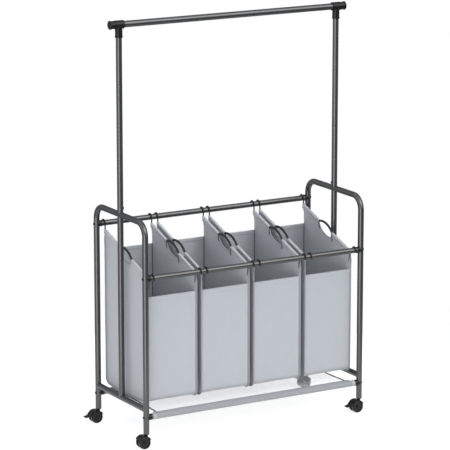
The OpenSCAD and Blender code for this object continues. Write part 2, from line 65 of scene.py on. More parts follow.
class Side(Enum):
    """The two side walls of a bag, with the sign of their X."""

    LEFT = -1
    RIGHT = 1


# ---- Finishes ----


def linear(hex_colour: str) -> tuple[float, float, float, float]:
    """Turn an sRGB hex colour into linear light.

    Args:
        hex_colour: The colour as "#rrggbb".

    Returns:
        Red, green, blue and alpha, each from 0 to 1.
    """
    srgb = np.array([int(hex_colour[i : i + 2], 16) for i in (1, 3, 5)]) / 255
    light = np.where(srgb <= 0.04045, srgb / 12.92, ((srgb + 0.055) / 1.055) ** 2.4)
    return (*light.tolist(), 1.0)


def add_node(
    tree: bpy.types.NodeTree,
    kind: str,
    settings: dict[Any, Any] | None = None,
    links: dict[Any, bpy.types.NodeSocket] | None = None,
) -> bpy.types.Node:
    """Add one node with its settings and its links.

    Args:
        tree: The node tree it goes into.
        kind: The node's type name.
        settings: Values by property name or by input socket.
        links: Output sockets by the input socket that each feeds.

    Returns:
        The new node.
    """
    made = tree.nodes.new(kind)
    for name, value in (settings or {}).items():
        if isinstance(name, str) and hasattr(made, name):
            setattr(made, name, value)
        else:
            made.inputs[name].default_value = value
    for name, source in (links or {}).items():
        tree.links.new(source, made.inputs[name])
    return made


@dataclass(frozen=True)
class Finish:
    """A material with a base colour; each kind of finish adds its own detail."""

    name: str
    colour: str
    roughness: float
    metallic: float = 0.0
    ior: float = 1.5

    def material(self) -> bpy.types.Material:
        """Return this finish's material, made on first use."""
        found = bpy.data.materials.get(self.name)
        if found is not None:
            return found
        made = bpy.data.materials.new(self.name)
        made.use_nodes = True
        tree = made.node_tree
        tree.nodes.clear()
        shader = add_node(
            tree,
            "ShaderNodeBsdfPrincipled",
            {
                "Base Color": linear(self.colour),
                "Roughness": self.roughness,
                "Metallic": self.metallic,
                "IOR": self.ior,
            },
        )
        add_node(tree, "ShaderNodeOutputMaterial", links={"Surface": shader.outputs["BSDF"]})
        self.detail(tree, shader)
        return made

    def detail(self, tree: bpy.types.NodeTree, shader: bpy.types.Node) -> None:
        """Add this finish's pattern to its shader."""
        raise NotImplementedError

    def shaded(self, tree: bpy.types.NodeTree, amount: bpy.types.NodeSocket, depth: float) -> Any:
        """Return the colour, darkened by depth where amount is 0.

        Args:
            tree: The node tree.
            amount: A pattern from 0 to 1.
            depth: The share of light lost at 0.

        Returns:
            The colour's output socket.
        """
        light = linear(self.colour)
        dark = tuple(c * (1 - depth) for c in light[:3]) + (1.0,)
        mixed = add_node(
            tree,
            "ShaderNodeMix",
            {"data_type": "RGBA", 6: dark, 7: light},
            {0: amount},
        )
        return mixed.outputs[2]


@dataclass(frozen=True)
class PowderCoat(Finish):
    """Baked powder on steel tube: a fine orange peel with metal flakes in it."""

    peel: float = 1.6 * MM
    flake: float = 1.1 * MM
    coat: float = 0.1

    def detail(self, tree: bpy.types.NodeTree, shader: bpy.types.Node) -> None:
        """Peel as bump, flakes and slow patches as colour."""
        place = add_node(tree, "ShaderNodeTexCoord").outputs["Object"]
        peel = add_node(
            tree, "ShaderNodeTexNoise", {"Scale": 1 / self.peel, "Detail": 2.0}, {"Vector": place}
        )
        flakes = add_node(
            tree, "ShaderNodeTexVoronoi", {"Scale": 1 / self.flake}, {"Vector": place}
        )
        patches = add_node(
            tree, "ShaderNodeTexNoise", {"Scale": 14.0, "Detail": 3.0}, {"Vector": place}
        )
        both = add_node(
            tree,
            "ShaderNodeMath",
            {"operation": "MULTIPLY"},
            {0: flakes.outputs["Distance"], 1: patches.outputs["Fac"]},
        )
        lifted = add_node(
            tree, "ShaderNodeMath", {"operation": "MULTIPLY", 1: 3.0}, {0: both.outputs[0]}
        )
        tree.links.new(self.shaded(tree, lifted.outputs[0], 0.22), shader.inputs["Base Color"])
        rough = add_node(
            tree,
            "ShaderNodeMapRange",
            {"To Min": self.roughness - 0.05, "To Max": self.roughness + 0.07},
            {"Value": patches.outputs["Fac"]},
        )
        tree.links.new(rough.outputs[0], shader.inputs["Roughness"])
        bump = add_node(
            tree,
            "ShaderNodeBump",
            {"Strength": 0.35, "Distance": 0.05 * MM},
            {"Height": peel.outputs["Fac"]},
        )
        tree.links.new(bump.outputs["Normal"], shader.inputs["Normal"])
        shader.inputs["Coat Weight"].default_value = self.coat
        shader.inputs["Coat Roughness"].default_value = 0.25


@dataclass(frozen=True)
class MouldedPlastic(Finish):
    """Injection-moulded plastic: spark-eroded grain and faint flow clouds."""

    grain: float = 0.9 * MM
    relief: float = 0.04 * MM
    gloss: float = 0.5

    def detail(self, tree: bpy.types.NodeTree, shader: bpy.types.Node) -> None:
        """Grain as bump, clouds as gloss and colour."""
        place = add_node(tree, "ShaderNodeTexCoord").outputs["Object"]
        grain = add_node(
            tree, "ShaderNodeTexNoise", {"Scale": 1 / self.grain, "Detail": 3.0}, {"Vector": place}
        )
        clouds = add_node(
            tree, "ShaderNodeTexNoise", {"Scale": 60.0, "Detail": 2.0}, {"Vector": place}
        )
        tree.links.new(self.shaded(tree, clouds.outputs["Fac"], 0.3), shader.inputs["Base Color"])
        rough = add_node(
            tree,
            "ShaderNodeMapRange",
            {"To Min": self.roughness - 0.08, "To Max": self.roughness + 0.1},
            {"Value": clouds.outputs["Fac"]},
        )
        tree.links.new(rough.outputs[0], shader.inputs["Roughness"])
        bump = add_node(
            tree,
            "ShaderNodeBump",
            {"Strength": 0.4, "Distance": self.relief},
            {"Height": grain.outputs["Fac"]},
        )
        tree.links.new(bump.outputs["Normal"], shader.inputs["Normal"])
        shader.inputs["Specular IOR Level"].default_value = self.gloss


@dataclass(frozen=True)
class PlatedSteel(Finish):
    """Turned and plated steel: fine rings of the lathe, dulled by the plating."""

    ring: float = 0.7 * MM

    def detail(self, tree: bpy.types.NodeTree, shader: bpy.types.Node) -> None:
        """Tool marks as bump, stains as colour."""
        place = add_node(tree, "ShaderNodeTexCoord").outputs["Object"]
        marks = add_node(
            tree,
            "ShaderNodeTexWave",
            {"bands_direction": "Z", "Scale": 0.314 / self.ring, "Distortion": 1.5},
            {"Vector": place},
        )
        stains = add_node(
            tree, "ShaderNodeTexNoise", {"Scale": 180.0, "Detail": 2.0}, {"Vector": place}
        )
        tree.links.new(self.shaded(tree, stains.outputs["Fac"], 0.25), shader.inputs["Base Color"])
        bump = add_node(
            tree,
            "ShaderNodeBump",
            {"Strength": 0.3, "Distance": 0.02 * MM},
            {"Height": marks.outputs["Fac"]},
        )
        tree.links.new(bump.outputs["Normal"], shader.inputs["Normal"])


@dataclass(frozen=True)
class WovenCloth(Finish):
    """Plain-woven polyester: crossing threads, slubs along them, and a soft sheen.

    The threads follow the piece's UV map, which is in metres along the cloth. Real
    threads lie 0.4 mm apart; they are drawn coarser so that a close view shows them.
    """

    thread: float = 1.3 * MM
    relief: float = 0.16 * MM
    sheen: float = 0.25

    def detail(self, tree: bpy.types.NodeTree, shader: bpy.types.Node) -> None:
        """Threads as bump and colour, slubs and slow clouds as colour."""
        cloth = add_node(tree, "ShaderNodeUVMap", {"uv_map": CLOTH_UV}).outputs["UV"]
        pitch = 0.314159 / self.thread
        warp = add_node(
            tree,
            "ShaderNodeTexWave",
            {"bands_direction": "X", "Scale": pitch, "Distortion": 0.6, "Detail Scale": 0.3},
            {"Vector": cloth},
        )
        weft = add_node(
            tree,
            "ShaderNodeTexWave",
            {"bands_direction": "Y", "Scale": pitch, "Distortion": 0.6, "Detail Scale": 0.3},
            {"Vector": cloth},
        )
        over = add_node(
            tree, "ShaderNodeTexChecker", {"Scale": 1 / self.thread}, {"Vector": cloth}
        )
        weave = add_node(
            tree,
            "ShaderNodeMix",
            {"data_type": "FLOAT"},
            {0: over.outputs["Fac"], 2: warp.outputs["Fac"], 3: weft.outputs["Fac"]},
        )
        stretched = add_node(
            tree, "ShaderNodeMapping", {"Scale": (260.0, 9.0, 1.0)}, {"Vector": cloth}
        )
        slubs = add_node(
            tree,
            "ShaderNodeTexNoise",
            {"Scale": 1.0, "Detail": 3.0},
            {"Vector": stretched.outputs["Vector"]},
        )
        clouds = add_node(
            tree, "ShaderNodeTexNoise", {"Scale": 22.0, "Detail": 4.0}, {"Vector": cloth}
        )
        tone = add_node(
            tree,
            "ShaderNodeMix",
            {"data_type": "FLOAT", 0: 0.5},
            {2: slubs.outputs["Fac"], 3: clouds.outputs["Fac"]},
        )
        mixed = add_node(
            tree,
            "ShaderNodeMix",
            {"data_type": "FLOAT", 0: 0.4},
            {2: tone.outputs[0], 3: weave.outputs[0]},
        )
        tree.links.new(self.shaded(tree, mixed.outputs[0], 0.2), shader.inputs["Base Color"])
        bump = add_node(
            tree,
            "ShaderNodeBump",
            {"Strength": 0.5, "Distance": self.relief},
            {"Height": weave.outputs[0]},
        )
        tree.links.new(bump.outputs["Normal"], shader.inputs["Normal"])
        shader.inputs["Sheen Weight"].default_value = self.sheen
        shader.inputs["Sheen Roughness"].default_value = 0.5
        shader.inputs["Specular IOR Level"].default_value = 0.25


@dataclass(frozen=True)
class FloorPaint(Finish):
    """Opal floor, lit a little from below, with the faint clouds of a rolled coat."""

    glow: float = 0.8

    def detail(self, tree: bpy.types.NodeTree, shader: bpy.types.Node) -> None:
        """Clouds as colour."""
        place = add_node(tree, "ShaderNodeTexCoord").outputs["Object"]
        clouds = add_node(tree, "ShaderNodeTexNoise", {"Scale": 2.0}, {"Vector": place})
        tree.links.new(self.shaded(tree, clouds.outputs["Fac"], 0.01), shader.inputs["Base Color"])
        shader.inputs["Emission Color"].default_value = (1, 1, 1, 1)
        shader.inputs["Emission Strength"].default_value = self.glow


CLOTH_UV = "cloth"

# Satin gunmetal powder coat: a broad soft highlight along every tube.
TUBE_COAT = PowderCoat("gunmetal_powder_coat", "#5b5b5b", 0.3, 0.9)
# The rail's coat is darker than the frame's and takes the same soft line of light.
RAIL_COAT = PowderCoat("rail_powder_coat", "#595959", 0.27, 0.9)
# Moulded polypropylene: near black, half matt.
BLACK_FITTING = MouldedPlastic("moulded_black_polypropylene", "#0d0d0e", 0.36, ior=1.49, gloss=0.3)
# Nylon wheels and housings: blacker and glossier, with curved glints.
CASTER_NYLON = MouldedPlastic("moulded_black_nylon", "#0a0a0b", 0.26, ior=1.53, gloss=0.3)
# Black zinc on steel: dark bolts, screws, axles and pins with a dull metal glint.
BLACK_ZINC = PlatedSteel("black_zinc_plate", "#2c2c2e", 0.4, 0.8)
# Bright zinc on steel: the stems and thread inserts catch the light.
BRIGHT_ZINC = PlatedSteel("bright_zinc_plate", "#b9bbbf", 0.32, 1.0)
# Grey polyester with a coated back: flat cool grey with a low sheen.
BAG_CLOTH = WovenCloth("grey_woven_polyester", "#a9acb1", 0.85)
# Grosgrain seam tape: the same grey, a step darker, with closer ribs.
SEAM_TAPE = WovenCloth("grosgrain_seam_tape", "#94979c", 0.8, thread=0.9 * MM)
# Dark webbing: the tails and the bound ends of the net. The same dark cloth also runs inside the bags
# along the seams as painted crease shade.
DARK_TAPE_AND_CREASE_SHADE = WovenCloth("dark_grey_webbing_and_crease_shade", "#4b4d51", 0.8, thread=1.1 * MM)
# Shelf sleeves: satin-woven polyester, smoother and a little shinier than the bags.
SLEEVE_CLOTH = WovenCloth("satin_woven_sleeve", "#8d8f93", 0.6, relief=0.08 * MM, sheen=0.35)
# Shelf end rings: pale moulded polyethylene.
PALE_RING = MouldedPlastic("moulded_pale_polyethylene", "#a5a7aa", 0.45, ior=1.51)
# PVC dipped wire: smooth black with a clear glint.
WIRE_COAT = MouldedPlastic("pvc_dipped_wire", "#0b0b0c", 0.25, ior=1.54, relief=0.015 * MM, gloss=0.35)
# Foamed PVC grip over the handle: matt black.
GRIP_FOAM = MouldedPlastic("foamed_pvc_grip", "#0e0e0f", 0.5, ior=1.5, relief=0.08 * MM)
# Spun polyester net yarn: near white and matt.
NET_YARN = MouldedPlastic("spun_polyester_yarn", "#e6e6ea", 0.75, grain=0.5 * MM)
# Polyester sewing thread, a step lighter than the cloth.
LIGHT_THREAD = MouldedPlastic("light_sewing_thread", "#c6c9cd", 0.7, grain=0.3 * MM)
# The same thread in the tape's darker grey.
DARK_THREAD = MouldedPlastic("dark_sewing_thread", "#5d6064", 0.7, grain=0.3 * MM)
# Studio floor: matt grey that gives off light of its own, so that it looks white.
STUDIO_FLOOR = FloorPaint("matt_white_floor_paint", "#969696", 0.9)


# ---- Surfaces ----


@dataclass
class Patch:
    """A grid of points joined into quads.

    Attributes:
        points: Rows, columns and three coordinates.
        uv: Rows, columns and two cloth coordinates, or none.
        closed: The last column joins the first.
        capped: The first and last rows are filled.
    """

    points: np.ndarray
    uv: np.ndarray | None = None
    closed: bool = False
    capped: bool = False

    def index(self) -> np.ndarray:
        """Number the grid's points row by row, with the first column again if closed."""
        rows, columns = self.points.shape[:2]
        numbers = np.arange(rows * columns).reshape(rows, columns)
        if self.closed:
            numbers = np.concatenate([numbers, numbers[:, :1]], axis=1)
        return numbers

    def quads(self) -> np.ndarray:
        """Each cell's corners: this point, its right, below-right and below neighbours."""
        n = self.index()
        return np.stack([n[:-1, :-1], n[:-1, 1:], n[1:, 1:], n[1:, :-1]], -1).reshape(-1, 4)

    def caps(self) -> list[list[int]]:
        """The first row turned round and the last row, as two faces."""
        if not self.capped:
            return []
        columns = self.points.shape[1]
        n = self.index()
        return [n[0, :columns][::-1].tolist(), n[-1, :columns].tolist()]


def piece_from(
    name: str,
    patches: Iterable[Patch],
    finish: Finish,
    body: str,
    weld: bool = False,
) -> bpy.types.Object:
    """Make one piece from its patches, dress it and let it ride on a body.

    Args:
        name: The piece's name.
        patches: The grids that it is made of.
        finish: Its material.
        body: The body it moves with.
        weld: Merge points that fall together.

    Returns:
        The new object, at the origin.
    """
    patches = list(patches)
    faces: list[list[int]] = []
    start = 0
    for patch in patches:
        faces += (patch.quads() + start).tolist()
        faces += [[i + start for i in cap] for cap in patch.caps()]
        start += patch.points.shape[0] * patch.points.shape[1]
    points = np.concatenate([p.points.reshape(-1, 3) for p in patches])
    mesh = bpy.data.meshes.new(name)
    mesh.from_pydata(points.tolist(), [], faces)
    if all(p.uv is not None for p in patches):
        uv = np.concatenate([p.uv.reshape(-1, 2) for p in patches])
        corner = np.zeros(len(mesh.loops), np.int32)
        mesh.loops.foreach_get("vertex_index", corner)
        mesh.uv_layers.new(name=CLOTH_UV)
        mesh.uv_layers[CLOTH_UV].data.foreach_set("uv", uv[corner].astype(np.float32).ravel())
    tidy_mesh(mesh, weld)
    mesh.materials.append(finish.material())
    made = bpy.data.objects.new(name, mesh)
    bpy.context.scene.collection.objects.link(made)
    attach(made, body)
    log.info("%s: %d points on %s", name, len(mesh.vertices), body)
    return made


def tidy_mesh(mesh: bpy.types.Mesh, weld: bool) -> None:
    """Merge doubles if asked, turn the faces outwards and shade them smooth."""
    work = bmesh.new()
    work.from_mesh(mesh)
    if weld:
        bmesh.ops.remove_doubles(work, verts=work.verts, dist=0.02 * MM)
    bmesh.ops.recalc_face_normals(work, faces=work.faces)
    work.to_mesh(mesh)
    work.free()
    mesh.polygons.foreach_set("use_smooth", np.ones(len(mesh.polygons), bool))
    mesh.set_sharp_from_angle(angle=math.radians(50))


def smooth(t: np.ndarray) -> np.ndarray:
    """Ease from 0 to 1: three t squared less two t cubed, with t held in 0 to 1."""
    t = np.clip(t, 0, 1)
    return t * t * (3 - 2 * t)


def circle(radius: float, sides: int) -> np.ndarray:
    """Points of a circle, evenly turned, as (sides, 2)."""
    turn = np.linspace(0, 2 * np.pi, sides, endpoint=False)
    return radius * np.stack([np.cos(turn), np.sin(turn)], -1)


def sweep(path: np.ndarray, outline: np.ndarray, across: np.ndarray) -> np.ndarray:
    """Carry an outline along a path.

    Each point is the path's point, plus the outline's first number along the normal
    (tangent cross across), plus its second number along across.

    Args:
        path: Points of the path, (n, 3).
        outline: The section, (k, 2), or one for each point of the path, (n, k, 2).
        across: A unit vector square to the path, (3,) or (n, 3).

    Returns:
        The swept grid, (n, k, 3).
    """
    tangent = np.gradient(path, axis=0)
    tangent /= np.linalg.norm(tangent, axis=1, keepdims=True)
    across = np.broadcast_to(across, path.shape)
    normal = np.cross(tangent, across)
    normal /= np.linalg.norm(normal, axis=1, keepdims=True)
    outline = np.broadcast_to(outline, (len(path),) + outline.shape[-2:])
    return (
        path[:, None, :]
        + outline[..., :1] * normal[:, None, :]
        + outline[..., 1:] * across[:, None, :]
    )


def arc_length(path: np.ndarray) -> np.ndarray:
    """Distance along a path at each of its points, the running sum of its steps."""
    steps = np.linalg.norm(np.diff(path, axis=0), axis=1)
    return np.concatenate([[0.0], np.cumsum(steps)])


def cloth_uv(path: np.ndarray, width: np.ndarray) -> np.ndarray:
    """Cloth coordinates of a swept band: across it, then along it, in metres."""
    along = arc_length(path)
    across = np.concatenate([[0.0], np.cumsum(np.linalg.norm(np.diff(width, axis=0), axis=1))])
    return np.stack(np.meshgrid(across, along), -1)


def spaced(path: np.ndarray, step: float) -> np.ndarray:
    """Points at even steps along a path, by linear interpolation of its length."""
    along = arc_length(path)
    count = max(2, int(round(along[-1] / step)) + 1)
    at = np.linspace(0, along[-1], count)
    return np.stack([np.interp(at, along, path[:, k]) for k in range(3)], -1)


def rounded_line(corners: np.ndarray, radii: list[float], step: float) -> np.ndarray:
    """A flat line with its corners rounded.

    Each corner gives way to an arc of its radius that is tangent to both legs; its
    centre lies on the normal of the incoming leg, on the side that the line turns to.

    Args:
        corners: The corner points, (n, 2).
        radii: A radius for each corner; 0 keeps it sharp.
        step: The turn between points of an arc, in radians.

    Returns:
        The rounded line's points, (m, 2).
    """
    parts = [corners[:1]]
    for a, b, c, radius in zip(corners[:-2], corners[1:-1], corners[2:], radii[1:-1]):
        u = (b - a) / np.linalg.norm(b - a)
        v = (c - b) / np.linalg.norm(c - b)
        turn = math.atan2(u[0] * v[1] - u[1] * v[0], float(u @ v))
        start = b - u * radius * math.tan(abs(turn) / 2)
        normal = np.array([-u[1], u[0]]) * np.sign(turn)
        centre = start + normal * radius
        first = math.atan2(-normal[1], -normal[0])
        angle = first + np.linspace(0, turn, max(2, int(abs(turn) / step) + 1))
        parts.append(centre + radius * np.stack([np.cos(angle), np.sin(angle)], -1))
    parts.append(corners[-1:])
    line = np.concatenate(parts)
    keep = np.concatenate([[True], np.linalg.norm(np.diff(line, axis=0), axis=1) > 0.01 * MM])
    return line[keep]


def in_plane(x: float, flat: np.ndarray) -> np.ndarray:
    """Stand a flat (y, z) line in the plane at x."""
    return np.concatenate([np.full((len(flat), 1), x), flat], axis=1)


def stitches(path: np.ndarray, out: np.ndarray, pitch: float, length: float) -> Patch:
    """A row of sewn stitches along a path, as one wavy thread.

    The thread rises out of the cloth and dips back once for each pitch, so only its
    tops show as separate stitches. Each ring is a circle about the path's point plus
    out times the wave.

    Args:
        path: Points along the seam line, (n, 3).
        out: Unit vectors out of the cloth, (3,) or (n, 3).
        pitch: From one stitch to the next.
        length: The share of the pitch that shows.

    Returns:
        The thread's surface.
    """
    line = spaced(path, pitch / 6)
    away = np.broadcast_to(out, path.shape)
    along = arc_length(path)
    at = arc_length(line)
    away = np.stack([np.interp(at, along, away[:, k]) for k in range(3)], -1)
    wave = np.cos(2 * np.pi * at / pitch) - (1 - 2 * length)
    line = line + away * (0.55 * MM * wave)[:, None]
    return Patch(sweep(line, circle(0.45 * MM, 5), away), closed=True, capped=True)


# ---- Bags ----


@dataclass(frozen=True)
class WireShape:
    """The bent wire that carries one side of a bag, in its (y, z) plane.

    It hooks over the rear bar, runs down and forward inside the hem, arches over the
    hand hole as the handle, and hooks over the front bar.
    """

    rear_bar: tuple[float, float]
    front_bar: tuple[float, float]
    bar_radius: float
    radius: float = 2.5 * MM
    hook_gap: float = 0.4 * MM
    hook_tip: float = 7 * MM
    rear_drop: float = 24 * MM
    front_drop: float = 14 * MM
    handle_y: float = 12 * MM
    handle_length: float = 98 * MM
    handle_rise: float = 26 * MM
    handle_bend: float = 90 * MM
    small_bend: float = 10 * MM
    front_bend: float = 8 * MM

    @property
    def hook_radius(self) -> float:
        """Centre line of a hook about its bar."""
        return self.bar_radius + self.hook_gap + self.radius

    @property
    def hem_rear(self) -> np.ndarray:
        """Rear end of the straight hem line."""
        return np.array([self.rear_bar[0] - self.hook_radius, self.rear_bar[1] - self.rear_drop])

    @property
    def hem_front(self) -> np.ndarray:
        """Front end of the straight hem line."""
        return np.array(
            [self.front_bar[0] + self.hook_radius, self.front_bar[1] - self.front_drop]
        )

    @property
    def hem_forward(self) -> np.ndarray:
        """Unit vector down the hem line, towards the front."""
        run = self.hem_front - self.hem_rear
        return run / np.linalg.norm(run)

    @property
    def hem_up(self) -> np.ndarray:
        """Unit vector square to the hem line, upwards."""
        forward = self.hem_forward
        return np.array([forward[1], -forward[0]])

    def hem_height(self, y: np.ndarray) -> np.ndarray:
        """Height of the straight hem line at y, by its slope."""
        forward = self.hem_forward
        return self.hem_rear[1] + (y - self.hem_rear[0]) * forward[1] / forward[0]

    def handle_end(self, towards_front: bool) -> np.ndarray:
        """One end of the handle, on the hem line."""
        middle = np.array([self.handle_y, float(self.hem_height(np.array(self.handle_y)))])
        reach = self.hem_forward * self.handle_length / 2
        return middle + reach if towards_front else middle - reach

    def line(self) -> np.ndarray:
        """The whole wire's centre line: hooks, hem runs and the handle's arch."""
        r = self.hook_radius
        rear, front = np.array(self.rear_bar), np.array(self.front_bar)
        middle = (self.handle_end(True) + self.handle_end(False)) / 2
        corners = np.array(
            [
                rear + [r, -self.hook_tip],
                rear + [r, r],
                rear + [-r, r],
                self.hem_rear,
                self.handle_end(False),
                middle + self.hem_up * self.handle_rise,
                self.handle_end(True),
                self.hem_front,
                front + [r, r],
                front + [-r, r],
                front + [-r, -self.hook_tip],
            ]
        )
        s = self.small_bend
        radii = [0.0, r, r, s, s, self.handle_bend, s, self.front_bend, r, r, 0.0]
        return rounded_line(corners, radii, math.radians(9))


@dataclass(frozen=True)
class BagCut:
    """A bag as it is sewn: two side walls and one strip for front, floor and rear.

    The side walls hang from the wires, and the strip hangs from the side walls. All
    of it is one shell with shared points along the seams.
    """

    half_width: float = 96 * MM
    front: float = -154.5 * MM
    rear: float = 165.5 * MM
    floor: float = 157 * MM
    corner: float = 20 * MM
    front_top: float = 548 * MM
    rear_top: float = 661 * MM
    floor_sag: float = 6 * MM
    wall_belly: float = 2.2 * MM
    floor_belly: float = 5 * MM
    corner_calm: float = 90 * MM
    hole_depth: float = 30 * MM
    front_lean: float = 4.5 * MM
    front_reach: float = 50 * MM
    rear_reach: float = 60 * MM
    flare_power: float = 2.2
    low_rows: int = 34
    high_rows: int = 12
    strip_columns: int = 27

    def stations(self, wire: WireShape) -> np.ndarray:
        """Places from front to rear where the side wall's columns stand at the floor.

        They follow the rounded corners by equal angles and crowd by a cosine at both
        ends of the hand hole, where its edge turns steeply.
        """
        turn = np.linspace(0, np.pi / 2, 8)
        front = self.front + self.corner * (1 - np.cos(turn))
        rear = self.rear - self.corner * (1 - np.cos(turn[::-1]))
        hole = wire.handle_y - wire.handle_length / 2 * np.cos(np.linspace(0, np.pi, 21))
        first = np.linspace(front[-1], hole[0], 13)[1:-1]
        second = np.linspace(hole[-1], rear[0], 11)[1:-1]
        return np.concatenate([front, first, hole, second, rear])

    def side_lines(self, wire: WireShape) -> tuple[np.ndarray, np.ndarray, np.ndarray]:
        """The side wall in its (y, z) plane.

        Below the strip's top edges the rows go in equal shares from the floor line to
        the line between those edges; above it, from there to the hem line less the
        hand hole's half ellipse. Towards the top both edges ease out to the hooks.

        Returns:
            y and z, (rows, columns) each, and how far above the strip each row is,
            from 0 to 1, (rows,).
        """
        y = self.stations(wire)
        middle, half = (self.front + self.rear) / 2, (self.rear - self.front) / 2
        past = np.clip(np.abs(y - middle) - (half - self.corner), 0, self.corner)
        rise = self.corner - np.sqrt(np.maximum(self.corner**2 - past**2, 0))
        base = self.floor + rise - self.floor_sag * (1 - ((y - middle) / half) ** 2)
        share = (y - self.front) / (self.rear - self.front)
        brim = self.front_top + share * (self.rear_top - self.front_top)
        low = np.linspace(0, 1, self.low_rows)[:, None]
        low_z = base + low * (brim - base)
        low_y = np.broadcast_to(y, low_z.shape)
        high = np.linspace(0, 1, self.high_rows + 1)[1:, None]
        to_front = -self.front_lean * np.exp(
            -(((y - self.front) / self.front_reach) ** 2)
        )
        to_rear = (wire.hem_rear[0] - self.rear) * np.exp(
            -(((self.rear - y) / self.rear_reach) ** 2)
        )
        high_y = y + high**self.flare_power * (to_front + to_rear)
        across = np.clip((y - wire.handle_y) / (wire.handle_length / 2), -1, 1)
        dip = self.hole_depth * np.sqrt(1 - across**2)
        high_z = brim + high * (wire.hem_height(high_y) - dip - brim)
        above = np.concatenate([np.zeros(self.low_rows), high[:, 0]])
        return np.concatenate([low_y, high_y]), np.concatenate([low_z, high_z]), above


def folds(a: np.ndarray, b: np.ndarray, seed: int) -> np.ndarray:
    """Soft folds of hanging cloth: the sum of six slow waves with seeded directions.

    Args:
        a: First coordinate on the cloth, in metres.
        b: Second coordinate on the cloth, in metres.
        seed: Picks the waves.

    Returns:
        Heights from about -1 to 1, shaped as a.
    """
    pick = np.random.default_rng(seed)
    total = np.zeros(np.broadcast(a, b).shape)
    for _ in range(6):
        span = pick.uniform(0.07, 0.24)
        tilt = pick.uniform(-0.5, 0.5)
        phase = pick.uniform(0, 2 * np.pi)
        total = total + np.sin(2 * np.pi * (a * np.cos(tilt) + b * np.sin(tilt)) / span + phase)
    return total / 3.5


